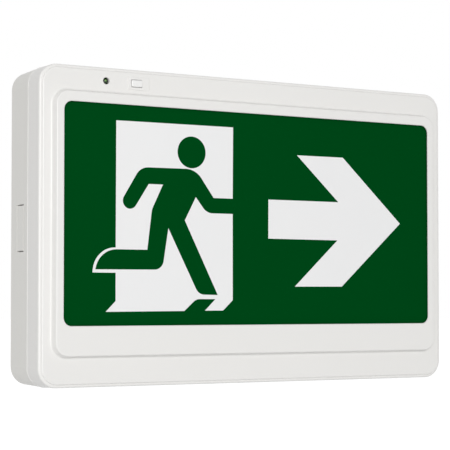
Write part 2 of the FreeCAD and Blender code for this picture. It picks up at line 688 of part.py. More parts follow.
def hook_outline(sign):
    """Section of a long hook: an arm along the wall, with a barb behind the back box's ring."""
    outer = "body_height / 2 - cover_wall - ring_gap - ring_thickness - hook_gap"
    inner = f"{outer} - hook_thickness"
    catch = "ring_depth - hook_gap"
    tip = f"{catch} - hook_head"
    root = "inner_depth"
    points = [(root, inner), (root, outer), (catch, outer), (catch, f"{outer} + hook_barb"),
              (f"{catch} - hook_gap", f"{outer} + hook_barb"), (tip, outer), (tip, inner)]
    return polygon(*[(f"-({depth})", f"{sign} * ({lift})") for depth, lift in points])


def make_cover_hooks(cover):
    """Long hooks along the top and bottom walls, which catch behind the back box's ring."""
    beside_board = "panel_board_width / 2 - panel_board_left + hook_width"
    outer_hook = "(body_width / 2 - hook_inset)"
    for sign, places in ((1, (beside_board, "hook_width * 3", outer_hook)),
                         (-1, (f"-{outer_hook}", "0", outer_hook))):
        for index, x in enumerate(places):
            name = ("TopHook" if sign > 0 else "BottomHook") + str(index)
            bar(cover, name, hook_outline(sign), "hook_width", x)


def make_tray_clips(cover):
    """Short clips above and below the bezel, which hold the reflector tray's flange."""
    root = "inner_depth"
    catch = "tray_front - tray_wall - clip_gap"
    edge = "bezel_height / 2 - bezel_side_wall + tray_flange + clip_gap"
    tip = f"{catch} - clip_head"
    outer_clip = "(bezel_width / 2 - clip_inset)"
    points = [(root, edge), (root, f"{edge} + clip_thickness"), (tip, f"{edge} + clip_thickness"),
              (tip, edge), (f"{catch} - clip_gap", f"{edge} - clip_barb"), (catch, f"{edge} - clip_barb"),
              (catch, edge)]
    for sign in (1, -1):
        outline = polygon(*[(f"-({depth})", f"bezel_lift + {sign} * ({lift})") for depth, lift in points])
        for index, x in enumerate((f"-{outer_clip}", "0", outer_clip)):
            bar(cover, ("TopClip" if sign > 0 else "BottomClip") + str(index), outline, "clip_width", x)


def make_sheets():
    """Legend panel and opal diffuser: two sheets stacked in the bezel's hollow."""
    legend = body("legend_panel")
    slab(legend, "Sheet", bezel_hollow("sheet_gap"), "diffuser_front", "bezel_back", z="bezel_lift")
    diffuser = body("diffuser")
    slab(diffuser, "Sheet", bezel_hollow("sheet_gap"), "diffuser_front - diffuser_thickness",
         "diffuser_front", z="bezel_lift")


# ---------------------------------------------------------------- light chamber

def chamber(inset):
    """Outline of the light chamber, drawn in from the outside of the tray."""
    size = f"2 * (tray_margin + tray_wall - ({inset}))"
    return rounded(f"window_width + {size}", f"window_height + {size}", less("tray_radius", inset))


def make_reflector_tray():
    """Reflector tray: a white dish with a flange, and a hole for the wire grommet."""
    tray = body("reflector_tray")
    front = "tray_front"
    flange_width = "bezel_width - 2 * bezel_side_wall + 2 * tray_flange"
    flange_height = "bezel_height - 2 * bezel_side_wall + 2 * tray_flange"
    slab(tray, "Flange", rounded(flange_width, flange_height, "tray_radius + tray_flange"),
         less(front, "tray_wall"), front, z="bezel_lift")
    dish = slab(tray, "Dish", chamber("0"), "tray_back", front, z="window_lift")
    fillet(tray, "DishEdge", dish, "tray_wall", at_depth("tray_back"))
    hollow(tray, "Chamber", chamber("tray_wall"), "tray_back + tray_wall", front, z="window_lift")
    hollow(tray, "WireHole", disc("grommet_neck"), "tray_back", "tray_back + tray_wall",
           "-grommet_left", "-grommet_drop")
    return tray


def strip_surface(sign):
    """Height of the chamber wall that a lamp strip lies on."""
    return f"window_lift + {sign} * (window_height / 2 + tray_margin)"


def make_lamp_strips():
    """Two lamp strips, on the top and bottom walls of the light chamber, with their lamps."""
    for name, sign in (("upper", 1), ("lower", -1)):
        centre = less(strip_surface(sign), f"{sign} * board_thickness / 2")
        board = solid_box(f"{name}_strip_board", "strip_length", "strip_width", "board_thickness", "0",
                          "strip_depth - strip_width / 2", centre)
        SUBPARTS.append(board)
        count = int(number("emitter_count"))
        lift = less(strip_surface(sign), f"{sign} * (board_thickness + emitter_rise / 2)")
        members = []
        for index in range(count):
            x = f"strip_length * {(index + 0.5) / count - 0.5}"
            members.append(solid_box(f"{name}_lamp_{index + 1}", "emitter_length", "emitter_width",
                                     "emitter_rise", x, "strip_depth - emitter_width / 2", lift))
        group(f"{name}_strip_lamps", members)


def make_grommet():
    """Rubber grommet in the tray's back, for the strips' wires: a turned ring with a groove."""
    grommet = body("wire_grommet", "-grommet_left", "tray_back", "-grommet_drop")
    bore, neck, lip, rise = "grommet_bore", "grommet_neck", "grommet_lip", "grommet_lip_rise"
    front = f"-tray_wall - {rise}"
    section = ((bore, rise), (lip, rise), (lip, "0"), (neck, "0"), (neck, "-tray_wall"), (lip, "-tray_wall"),
               (lip, front), (bore, front))
    turned(grommet, "Ring", polygon(*section))


# ---------------------------------------------------------------- status lamp and test button

def make_panel_board():
    """Small board behind the face, on two posts of the cover, with its screws."""
    board = body("panel_board", "-panel_board_left", "panel_board_front", "panel_board_lift")
    slab(board, "Board", rounded("panel_board_width", "panel_board_height", "1"), "-board_thickness", "0")
    for index, sign in enumerate((-1, 1)):
        hollow(board, f"Hole{index}", disc("screw_shank_radius + screw_gap"), "-board_thickness", "0",
               f"{sign} * panel_post_spacing / 2")
    places = [(f"{sign} * panel_post_spacing / 2 - panel_board_left", "panel_board_lift") for sign in (-1, 1)]
    screws("panel_board_screws", places, less("panel_board_front", "board_thickness"), forward=False)


def make_status_lamp():
    """Status lamp: a round lens with a domed tip and a flange, on a spacer tube."""
    lamp = body("status_lamp", "-lamp_left", "lamp_base", "lamp_lift")
    flange = "lamp_radius + lamp_flange"
    tip = number("lamp_length")
    lens = turned(lamp, "Lens", polygon(("0", "0"), (flange, "0"), (flange, "-1"), ("lamp_radius", "-1"),
                                        ("lamp_radius", "-lamp_length"), ("0", "-lamp_length")))
    fillet(lamp, "Dome", lens, "lamp_radius * 0.97", lambda edge: edge.BoundBox.YMax < 0.01 - tip)
    spacer = body("lamp_spacer", "-lamp_left", "panel_board_front", "lamp_lift")
    slab(spacer, "Tube", disc(flange), "0", "lamp_base - panel_board_front")
    hollow(spacer, "Bore", disc("lamp_radius - lamp_flange"), "0", "lamp_base - panel_board_front")


def make_test_switch():
    """Push switch on the small board: a square case and a round stem that carries the button."""
    case = body("switch_case", "-button_left", "panel_board_front", "pad_lift")
    slab(case, "Case", rounded("switch_side", "switch_side", "0.6"), "0", "switch_rise")
    well = "switch_rise - stem_reach - button_travel - moving_gap"
    hollow(case, "Well", disc("stem_radius + stem_gap"), well, "switch_rise")
    stem_start = total("panel_board_front", "switch_rise - stem_reach")
    stem = body("switch_stem", "-button_left", stem_start, "pad_lift")
    slab(stem, "Stem", disc("stem_radius"), "0", less("button_back + stem_grip", stem_start))


def make_test_button():
    """Test button: a crowned cap with a shoulder behind the face, and a socket for the stem."""
    button = body("test_button", "-button_left", "button_back", "pad_lift")
    shoulder_front = "inner_depth - button_gap - button_back"
    shoulder = rounded("button_width + 2 * button_flange", "button_height + 2 * button_flange", "1.2")
    slab(button, "Shoulder", shoulder, "0", shoulder_front)
    outline = rounded("button_width", "button_height", "pad_radius - button_gap")
    cap = slab(button, "Cap", outline, shoulder_front, "button_length")
    fillet(button, "Crown", cap, "0.5", at_depth("button_length"))
    hollow(button, "Socket", disc("stem_radius"), "0", "stem_grip")


# ---------------------------------------------------------------- power supply

def on_board(x, z):
    """Turn a place on the main board into a place in the housing."""
    return total("driver_right", str(x)), total("driver_lift", str(z))


def make_driver_board():
    """Main board on its four posts, with its screws."""
    board = body("driver_board", "driver_right", "box_wall + post_rise", "driver_lift")
    slab(board, "Board", rounded("driver_width", "driver_height", "2"), "0", "board_thickness")
    places = corners("driver_width / 2 - post_inset", "driver_height / 2 - post_inset")
    for index, (x, z) in enumerate(places):
        hollow(board, f"Hole{index}", disc("screw_shank_radius + screw_gap"), "0", "board_thickness", x, z)
    screws("driver_board_screws", [on_board(x, z) for x, z in places], "board_front")


def make_transformer():
    """Ferrite transformer: a core of three legs, and a flanged bobbin wound round the middle leg."""
    x, z = on_board(*PLACES["transformer"])
    core = body("transformer_core", x, "board_front + bobbin_foot", z)
    front = "component_rise - bobbin_foot"
    slab(core, "Core", rounded("core_width", "core_height", "core_play"), "0", front)
    for index, sign in enumerate((-1, 1)):
        hollow(core, f"Gap{index}", block("core_gap", "core_height + 1"), "core_leg", less(front, "core_leg"),
               f"{sign} * core_gap_place")
    bobbin = body("transformer_bobbin", x, "board_front", z)
    slab(bobbin, "Foot", rounded("bobbin_width", "bobbin_height", "1"), "0", "bobbin_foot")
    top = "component_rise - core_leg"
    start = "bobbin_foot + core_leg"
    slab(bobbin, "Winding", rounded("winding_width", "winding_height", "2"), "winding_start",
         f"{top} - core_play")
    apron = block("core_width - 2 * core_leg", "core_leg")
    slab(bobbin, "Apron", apron, "bobbin_foot", "winding_start", z="winding_height / 2 - core_leg / 2")
    middle = block("2 * core_gap_place - core_gap + 2 * core_play", "core_height + 2 * core_play")
    hollow(bobbin, "CoreWell", middle, "bobbin_foot + core_leg - core_play", top)
    for index, sign in enumerate((-1, 1)):
        leg = block("core_gap", "core_height + 2 * core_play")
        place_x = f"{sign} * (core_gap_place + core_gap - core_play)"
        hollow(bobbin, f"LegWell{index}", leg, start, top, place_x)


def make_capacitor(label, radius, length):
    """Can capacitor standing on the main board: a turned can with a rolled groove and a rounded top."""
    x, z = on_board(*PLACES[label])
    can = body(label, x, "board_front", z)
    neck = f"{radius} - can_groove"
    points = [("0", "0"), (radius, "0"), (radius, "-2 * can_groove"), (neck, "-3 * can_groove"),
              (radius, "-4 * can_groove"), (radius, f"-{length}"), ("0", f"-{length}")]
    shape = turned(can, "Can", polygon(*points))
    end = number(length)
    fillet(can, "Top", shape, "can_groove", lambda edge: edge.BoundBox.YMax < CLOSE - end)


def make_board_parts():
    """The other components of the main board."""
    make_capacitor("mains_capacitor", "mains_can_radius", "mains_can_length")
    make_capacitor("output_capacitor_1", "output_can_radius", "output_can_length")
    make_capacitor("output_capacitor_2", "output_can_radius", "output_can_length")
    x, z = on_board(*PLACES["control_chip"])
    SUBPARTS.append(solid_box("control_chip", "chip_length", "chip_rise", "chip_width", x, "board_front", z))
    x, z = on_board(*PLACES["power_transistor"])
    SUBPARTS.append(solid_box("power_transistor", "transistor_width", "component_rise", "transistor_height",
                              x, "board_front", z))
    make_header("battery_header")
    make_header("lamp_header")
    make_fuse()


def make_fuse():
    """Glass fuse with two metal caps, held in two sprung clips."""
    x, z = on_board(*PLACES["fuse"])
    fuse = body("fuse", x, "board_front + fuse_rise", z)
    tube = fuse.newObject("PartDesign::Revolution", "Tube")
    end, cap = "fuse_length / 2", "(fuse_length / 2 - fuse_cap)"
    outline = polygon((f"-{end}", "0"), (end, "0"), (end, "fuse_radius"), (cap, "fuse_radius"),
                      (cap, "fuse_glass"), (f"-{cap}", "fuse_glass"), (f"-{cap}", "fuse_radius"),
                      (f"-{end}", "fuse_radius"))
    tube.Profile = sketch(fuse, "XY_Plane", "TubeOutline", outline)
    tube.ReferenceAxis = (tube.Profile[0], ["H_Axis"])
    tube.Angle = 360
    spring = block("fuse_clip_width", "fuse_clip_wall")
    for index, sign in enumerate((-1, 1), start=1):
        clip = body(f"fuse_clip_{index}", f"{x} + {sign} * fuse_clip_place", "board_front", z)
        foot = block("fuse_clip_width", "2 * fuse_radius + fuse_clip_wall")
        slab(clip, "Foot", foot, "0", "fuse_clip_foot")
        for side in (-1, 1):
            slab(clip, "SpringA" if side < 0 else "SpringB", spring, "0", "fuse_clip_rise",
                 z=f"{side} * (fuse_radius + fuse_clip_wall / 2 + screw_gap)")


def make_header(label):
    """Two-way wire header: an open-topped box with two pins inside."""
    x, z = on_board(*PLACES[label])
    header = body(label, x, "board_front", z)
    slab(header, "Box", block("header_width", "header_height"), "0", "header_rise")
    well = block("header_width - 2 * header_wall", "header_height - 2 * header_wall")
    hollow(header, "Well", well, "header_floor", "header_rise")
    for index, sign in enumerate((-1, 1)):
        slab(header, f"Pin{index}", block("header_pin", "header_pin"), "header_floor",
             "header_rise - header_floor", z=f"{sign} * header_pitch / 2")


def make_terminal_block():
    """Mains terminal block: three clamps in one moulding, with wire mouths below and screws in front."""
    z = "-terminal_drop"
    terminals = body("terminal_block", "0", "box_wall", z)
    slab(terminals, "Moulding", rounded("terminal_width", "terminal_height", "1"), "0", "terminal_rise")
    pitches = [f"{step} * terminal_pitch" for step in (-1, 0, 1)]
    seat = "terminal_rise - terminal_well"
    mouth_radius = "terminal_mouth_radius"
    for index, x in enumerate(pitches):
        hollow(terminals, f"ScrewWell{index}", disc("terminal_well_radius"), seat, "terminal_rise", x)
        mouth = terminals.newObject("PartDesign::Pocket", f"WireMouth{index}")
        mouth.Profile = sketch(terminals, "XY_Plane", f"WireMouth{index}Outline", disc(mouth_radius), x,
                               "-terminal_mouth_depth", "-terminal_height / 2")
        mouth.Reversed = True
        bind(mouth, Length="terminal_mouth_length")
    for index, sign in enumerate((-1, 1)):
        groove = block("terminal_groove", "terminal_height")
        hollow(terminals, f"Groove{index}", groove, less("terminal_rise", "2 * terminal_groove"),
               "terminal_rise", f"{sign} * terminal_pitch / 2")
    members = [solid_pin(f"terminal_screw_{index}", "terminal_screw_radius", "terminal_screw_rise", x,
                         f"box_wall + {seat}", z) for index, x in enumerate(pitches, start=1)]
    group("terminal_screws", members)


# ---------------------------------------------------------------- battery

def make_battery():
    """Three cells in a scalloped cradle, held down by a bent strap."""
    for index, z in enumerate(CELL_LIFTS, start=1):
        cell = body(f"battery_cell_{index}", "-cell_left", "cell_depth", z)
        can = cell.newObject("PartDesign::Revolution", "Can")
        end, shoulder = "cell_length / 2", "cell_length / 2 - cell_tip"
        outline = polygon((f"-({end})", "0"), (end, "0"), (end, "cell_tip_radius"),
                          (shoulder, "cell_tip_radius"), (shoulder, "cell_radius"),
                          (f"-({end})", "cell_radius"))
        can.Profile = sketch(cell, "XY_Plane", "CanOutline", outline)
        can.ReferenceAxis = (can.Profile[0], ["H_Axis"])
        can.Angle = 360
    make_cradle()
    make_strap()


def make_cradle():
    """Battery cradle: a moulding with a scallop for each cell and a wall at each end."""
    cradle = body("battery_cradle", "-cell_left", "box_wall")
    axis = "cradle_floor + cell_radius + cell_gap"
    inside = "cell_length + 2 * cell_gap"
    slab(cradle, "Moulding", block(f"{inside} + 2 * cradle_wall", "cradle_height"), "0", axis)
    for index, z in enumerate(CELL_LIFTS):
        scallop = cradle.newObject("PartDesign::Pocket", f"Scallop{index}")
        scallop.Profile = sketch(cradle, "YZ_Plane", f"Scallop{index}Outline",
                                 disc("cell_radius + cell_gap"), f"-({axis})", z)
        scallop.Midplane = True
        bind(scallop, Length=inside)
    hollow(cradle, "LeadNotch", block("cradle_wall + 2", "6"), f"{axis} - 4", axis, f"({inside}) / 2")


def make_strap():
    """Battery strap: a flat strip bent over the cells, with a foot at each side."""
    strap = body("battery_strap", "-cell_left", "0")
    foot = "box_wall + post_rise"
    top = "cell_depth + cell_radius + cell_gap"
    side = "strap_side"
    thick = "strap_thickness"
    end = f"{side} + {thick} + strap_foot"
    outer = [(f"{top} + {thick}", f"{side} + {thick}"), (f"{foot} + {thick}", f"{side} + {thick}"),
             (f"{foot} + {thick}", end), (foot, end), (foot, side), (top, side)]
    points = [(depth, lift) for depth, lift in outer]
    points += [(depth, f"-({lift})") for depth, lift in reversed(outer)]
    strip = bar(strap, "Strip", polygon(*[(f"-({depth})", lift) for depth, lift in points]), "strap_width")
    level, reach = number(f"{top} + {thick}"), number(f"{side} + {thick}")
    fillet(strap, "Bend", strip, "strap_thickness",
           lambda edge: edge.BoundBox.YMax < 0.01 - level and edge.BoundBox.ZLength < 0.01
           and abs(abs(edge.BoundBox.ZMax) - reach) < 0.01)
    for index, z in enumerate(STRAP_HOLE_LIFTS):
        hollow(strap, f"Hole{index}", disc("screw_shank_radius + screw_gap"), foot, f"{foot} + {thick}", z=z)
    screws("strap_screws", [("-cell_left", z) for z in STRAP_HOLE_LIFTS], f"{foot} + {thick}")


# ---------------------------------------------------------------- build, check and write

def check(item):
    """Stop if a sub-part is failed, empty or not valid."""
    if item.Shape.isNull() or not item.Shape.isValid() or not item.Shape.Solids:
        raise RuntimeError(f"{item.Label} has no valid solid")


def main():
    """Build every sub-part, check the document and write one file for each sub-part."""
    make_back_box()
    make_front_cover()
    make_sheets()
    make_reflector_tray()
    make_lamp_strips()
    make_grommet()
    make_panel_board()
    make_status_lamp()
    make_test_switch()
    make_test_button()
    make_driver_board()
    make_transformer()
    make_board_parts()
    make_terminal_block()
    make_battery()
    doc.removeObject("Probe")
    doc.recompute()
    for item in doc.Objects:
        if "Invalid" in item.State or "Error" in item.State:
            raise RuntimeError(f"{item.Name} failed: {item.State}")
    os.makedirs("parts", exist_ok=True)
    for item in SUBPARTS:
        check(item)
        item.Shape.exportStep(f"parts/{item.Label}.step")
        box = item.Shape.BoundBox
        print(f"{item.Label}: {len(item.Shape.Solids)} solids, {item.Shape.Volume:.0f} mm3,"
              f" X {box.XMin:.1f}..{box.XMax:.1f} Y {box.YMin:.1f}..{box.YMax:.1f}"
              f" Z {box.ZMin:.1f}..{box.ZMax:.1f}")


main()
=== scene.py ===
"""Emergency exit light: its finishes, its sign, the edge of its cover and the studio round it.

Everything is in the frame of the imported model, in metres: +X is to the reader's right, +Z is
up and the sign faces -Y. Only the sizes of the sign and of the cover's edge are in
millimetres, as on a drawing.
"""
import logging
import math
from abc import ABC, abstractmethod
from dataclasses import dataclass, field
from enum import Enum
from typing import Sequence

import bpy
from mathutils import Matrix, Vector


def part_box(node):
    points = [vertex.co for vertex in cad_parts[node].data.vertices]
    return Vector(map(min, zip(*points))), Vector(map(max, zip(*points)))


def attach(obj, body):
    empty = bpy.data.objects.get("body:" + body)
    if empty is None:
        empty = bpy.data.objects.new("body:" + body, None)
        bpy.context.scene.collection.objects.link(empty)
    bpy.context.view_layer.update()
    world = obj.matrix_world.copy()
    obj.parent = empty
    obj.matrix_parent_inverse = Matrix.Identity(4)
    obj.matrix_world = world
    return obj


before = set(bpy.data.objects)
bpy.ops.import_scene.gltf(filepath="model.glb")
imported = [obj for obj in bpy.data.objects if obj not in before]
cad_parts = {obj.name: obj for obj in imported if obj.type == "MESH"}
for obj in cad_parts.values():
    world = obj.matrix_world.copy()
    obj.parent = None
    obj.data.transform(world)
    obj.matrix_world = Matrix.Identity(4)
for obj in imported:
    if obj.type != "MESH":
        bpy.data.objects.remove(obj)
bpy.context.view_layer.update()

LOG = logging.getLogger("exit_light")
MM = 0.001
# points of a mesh that are closer than this, in metres, are merged
MERGE_DISTANCE = 1e-6
# edges sharper than this stay sharp
CREASE_DEGREES = 35.0
# the share of a circle's radius that its four corners are rounded by: a touch less than the
# whole, so that two arcs never meet in one knot
CIRCLE_ROUNDING = 0.9999
# handling marks and stains to the metre, and the middle of a noise texture
HANDLING_MARKS = 38.0
STAINS = 140.0
NOISE_MIDDLE = 0.5

Colour = tuple[float, float, float]
Triple = tuple[float, float, float]
Point = tuple[float, float]
Knot = tuple[Vector, Vector | None, Vector | None]


class Body(Enum):
    """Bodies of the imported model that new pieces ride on."""

    HOUSING = "housing"


class Slot(Enum):
    """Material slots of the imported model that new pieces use."""

    SIGN_WHITE = "opal"
    COVER = "housing_front"


# ------------------------------------------------------------------------ modelling helpers


def clear_selection() -> None:
    """Deselect everything, so that an operator acts on new pieces alone."""
    if bpy.context.object and bpy.context.object.mode != "OBJECT":
        bpy.ops.object.mode_set(mode="OBJECT")
    bpy.ops.object.select_all(action="DESELECT")


def pick(piece: bpy.types.Object) -> None:
    """Make one piece the only selected and active one.

    Args:
        piece: the piece that the next operators act on.
    """
    clear_selection()
    piece.select_set(True)
    bpy.context.view_layer.objects.active = piece


def settle(piece: bpy.types.Object) -> None:
    """Leave a piece's place in its mesh, close its seams and turn its faces outwards.

    Args:
        piece: a mesh piece, anywhere.
    """
    pick(piece)
    bpy.ops.object.transform_apply(location=True, rotation=True, scale=True)
    bpy.ops.object.mode_set(mode="EDIT")
    bpy.ops.mesh.select_all(action="SELECT")
    bpy.ops.mesh.remove_doubles(threshold=MERGE_DISTANCE)
    bpy.ops.mesh.normals_make_consistent(inside=False)
    bpy.ops.object.mode_set(mode="OBJECT")
    bpy.ops.object.shade_smooth_by_angle(angle=math.radians(CREASE_DEGREES))


def fit_out(piece: bpy.types.Object, body: Body, finish: bpy.types.Material) -> None:
    """Give a new piece its finish and the body it moves with.

    Args:
        piece: the finished piece.
        body: the body that carries it.
        finish: its material.
    """
    piece.data.materials.clear()
    piece.data.materials.append(finish)
    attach(piece, body.value)
    LOG.info("%s: %d faces, rides on %s", piece.name, len(piece.data.polygons), body.value)


@dataclass(frozen=True)
class Corner:
    """A corner of a flat outline, rounded where its radius isn't zero."""

    x: float
    z: float
    radius: float = 0.0

    def place(self) -> Vector:
        """Give the place of the sharp corner."""
        return Vector((self.x, self.z))

    def knots(self, before: "Corner", after: "Corner") -> list[Knot]:
        """Work out the knots of a curve that goes round this corner.

        Args:
            before: the corner before this one.
            after: the corner after this one.

        Returns:
            One knot at a sharp corner, or one at each end of its arc. A knot is its place and
            its two handles, and a handle on the side of a straight run is None.
        """
        sharp = self.place()
        if self.radius <= 0:
            return [(sharp, None, None)]
        back = (before.place() - sharp).normalized()
        onward = (after.place() - sharp).normalized()
        turn = math.pi - back.angle(onward)
        reach = self.radius * math.tan(turn / 2)
        start, end = sharp + back * reach, sharp + onward * reach
        # the share of the way to the sharp corner at which the handles hold the curve to the arc
        share = 4 / 3 * math.tan(turn / 4) / math.tan(turn / 2)
        return [(start, None, start.lerp(sharp, share)), (end, end.lerp(sharp, share), None)]


def draw_outlines(name: str, outlines: Sequence[Sequence[Corner]],
                  smoothness: int) -> bpy.types.Object:
    """Draw closed outlines of straight runs and arcs as one upright curve.

    Args:
        name: the name of the curve and of the piece made of it.
        outlines: closed outlines in millimetres, seen from the front.
        smoothness: steps along an arc.

    Returns:
        The curve, upright in the plane of the wall.
    """
    clear_selection()
    bpy.ops.curve.primitive_bezier_curve_add(location=(0, 0, 0))
    piece = bpy.context.object
    piece.name = name
    curve = piece.data
    curve.splines.clear()
    for outline in outlines:
        knots = []
        for index, corner in enumerate(outline):
            after = outline[(index + 1) % len(outline)]
            knots.extend(corner.knots(outline[index - 1], after))
        spline = curve.splines.new("BEZIER")
        spline.bezier_points.add(len(knots) - 1)
        spline.use_cyclic_u = True
        for point, (place, left, right) in zip(spline.bezier_points, knots):
            point.co = place.to_3d() * MM
            point.handle_left_type = "VECTOR" if left is None else "FREE"
            point.handle_right_type = "VECTOR" if right is None else "FREE"
            if left is not None:
                point.handle_left = left.to_3d() * MM
            if right is not None:
                point.handle_right = right.to_3d() * MM
    curve.dimensions = "2D"
    curve.resolution_u = smoothness
    piece.rotation_euler = (math.pi / 2, 0, 0)
    return piece


def flat_piece(name: str, outlines: Sequence[Sequence[Corner]], back: float, front: float,
               smoothness: int = 10) -> bpy.types.Object:
    """Cut a flat piece that faces the reader out of outlines drawn with straight runs and arcs.

    Args:
        name: the piece's name.
        outlines: closed outlines in millimetres. One that lies in another is a hole.
        back: Y of its back face, in metres.
        front: Y of its front face, in metres.
        smoothness: steps along an arc.

    Returns:
        The piece, as a mesh in its place.
    """
    piece = draw_outlines(name, outlines, smoothness)
    piece.data.fill_mode = "BOTH"
    piece.data.extrude = abs(back - front) / 2
    piece.location = (0, (back + front) / 2, 0)
    pick(piece)
    bpy.ops.object.convert(target="MESH")
    settle(piece)
    return piece


def round_bead(name: str, outline: Sequence[Corner], place: float, radius: float,
               smoothness: int = 12, roundness: int = 3) -> bpy.types.Object:
    """Lay a round bead along a closed outline.

    Args:
        name: the piece's name.
        outline: the bead's middle line, in millimetres.
        place: Y of its middle line, in metres.
        radius: the bead's radius, in metres.
        smoothness: steps along an arc of the outline.
        roundness: how fine the bead's own round section is.

    Returns:
        The bead, as a smooth mesh in its place.
    """
    piece = draw_outlines(name, [outline], smoothness)
    piece.data.fill_mode = "NONE"
    piece.data.bevel_depth = radius
    piece.data.bevel_resolution = roundness
    piece.location = (0, place, 0)
    pick(piece)
    bpy.ops.object.convert(target="MESH")
    bpy.ops.object.shade_smooth()
    settle(piece)
    return piece


def circle_outline(centre: Point, radius: float) -> list[Corner]:
    """Give a circle as the four rounded corners of the square round it.

    Args:
        centre: its centre, to the right and upwards.
        radius: its radius.

    Returns:
        The corners.
    """
    x, z = centre
    rounding = radius * CIRCLE_ROUNDING
    return [Corner(x + right * radius, z + up * radius, rounding)
            for right, up in ((-1, -1), (1, -1), (1, 1), (-1, 1))]


# ------------------------------------------------------------------------ material helpers


class NodeSheet:
    """A node tree with short calls to add and join its nodes."""

    COLUMN_WIDTH = 180
    ROW_HEIGHT = 120
    ROWS = 3

    def __init__(self, tree: bpy.types.NodeTree) -> None:
        """Take a tree and empty it.

        Args:
            tree: the tree of a material, a world or a group.
        """
        tree.nodes.clear()
        self.tree = tree
        self.column = 0

    def join(self, source: bpy.types.NodeSocket, target: bpy.types.NodeSocket) -> None:
        """Link an output to an input."""
        self.tree.links.new(source, target)

    def feed(self, target: bpy.types.NodeSocket, value: object) -> None:
        """Give an input its value.

        Args:
            target: the input.
            value: a plain value, or the output to link it to.
        """
        if isinstance(value, bpy.types.NodeSocket):
            self.join(value, target)
        else:
            target.default_value = value

    def set(self, node: bpy.types.Node, **settings: object) -> None:
        """Set a node's properties and inputs.

        Args:
            node: the node.
            settings: properties by their names. One that starts with a capital is an input,
                with underscores for its spaces, and takes a plain value or an output.
        """
        for key, value in settings.items():
            if key[0].isupper():
                self.feed(node.inputs[key.replace("_", " ")], value)
            else:
                setattr(node, key, value)

    def add(self, kind: str, **settings: object) -> bpy.types.Node:
        """Add a node.

        Args:
            kind: the node's type.
            settings: its properties and inputs, as set takes them.

        Returns:
            The new node.
        """
        node = self.tree.nodes.new(kind)
        self.column += 1
        row = self.column % self.ROWS
        node.location = (self.COLUMN_WIDTH * self.column, -self.ROW_HEIGHT * row)
        self.set(node, **settings)
        return node

    def maths(self, operation: str, first: object, second: object,
              clamp: bool = False) -> bpy.types.NodeSocket:
        """Add a Math node.

        Args:
            operation: what it does.
            first: a number or an output.
            second: a number or an output.
            clamp: whether its result is held between 0 and 1.

        Returns:
            Its output.
        """
        node = self.add("ShaderNodeMath", operation=operation, use_clamp=clamp)
        self.feed(node.inputs[0], first)
        self.feed(node.inputs[1], second)
        return node.outputs[0]

    def tint(self, share: object, first: object, second: object) -> bpy.types.NodeSocket:
        """Add a node that mixes two colours.

        Args:
            share: how much of the second colour there is, from 0 to 1.
            first: a colour or an output.
            second: a colour or an output.

        Returns:
            Its output.
        """
        node = self.add("ShaderNodeMix", data_type="RGBA", Factor=share)
        # the sockets of colours come after those of numbers and vectors, under the same names
        first_colour, second_colour, result = node.inputs[6], node.inputs[7], node.outputs[2]
        self.feed(first_colour, first)
        self.feed(second_colour, second)
        return result

    def seen(self) -> bpy.types.NodeSocket:
        """Tell the rays that look at a surface from those that only light it.

        Returns:
            1 for a ray of the camera, of a reflection or through glass, and 0 for others.
        """
        rays = self.add("ShaderNodeLightPath").outputs
        direct = self.maths("MAXIMUM", rays["Is Camera Ray"], rays["Is Glossy Ray"])
        return self.maths("MAXIMUM", direct, rays["Is Transmission Ray"])

    def blend(self, share: bpy.types.NodeSocket, first: bpy.types.Node,
              second: bpy.types.Node) -> bpy.types.NodeSocket:
        """Add a node that mixes two shaders.

        Args:
            share: how much of the second shader there is, from 0 to 1.
            first: a shader.
            second: a shader.

        Returns:
            Its output.
        """
        node = self.add("ShaderNodeMixShader")
        for target, source in zip(node.inputs, (share, first.outputs[0], second.outputs[0])):
            self.join(source, target)
        return node.outputs[0]


def opaque(colour: Colour) -> tuple[float, float, float, float]:
    """Give a colour with an alpha of 1, as a node's input takes it."""
    return (*colour, 1.0)


def blank_material(name: str) -> tuple[bpy.types.Material, NodeSheet]:
    """Start a material without nodes.

    Args:
        name: the material's name.

    Returns:
        The material and a sheet to draw its nodes on.
    """
    material = bpy.data.materials.new(name)
    material.use_nodes = True
    return material, NodeSheet(material.node_tree)


FLOAT, COLOUR, VECTOR = "NodeSocketFloat", "NodeSocketColor", "NodeSocketVector"
SURFACE_OUTPUTS = {"Colour": COLOUR, "Roughness": FLOAT, "Height": FLOAT}


def new_surface_group(
        name: str, inputs: dict[str, tuple[str, object]],
) -> tuple[NodeSheet, bpy.types.NodeOutputs, bpy.types.NodeInputs]:
    """Start a shader node group that puts out a surface's Colour, Roughness and Height.

    Args:
        name: the group's name.
        inputs: socket type and default by input name.

    Returns:
        A sheet to draw the group on, what it is given, and what it puts out.
    """
    tree = bpy.data.node_groups.new(name, "ShaderNodeTree")
    for label, (kind, default) in inputs.items():
        socket = tree.interface.new_socket(name=label, in_out="INPUT", socket_type=kind)
        socket.default_value = default
    for label, kind in SURFACE_OUTPUTS.items():
        tree.interface.new_socket(name=label, in_out="OUTPUT", socket_type=kind)
    sheet = NodeSheet(tree)
    return sheet, sheet.add("NodeGroupInput").outputs, sheet.add("NodeGroupOutput").inputs


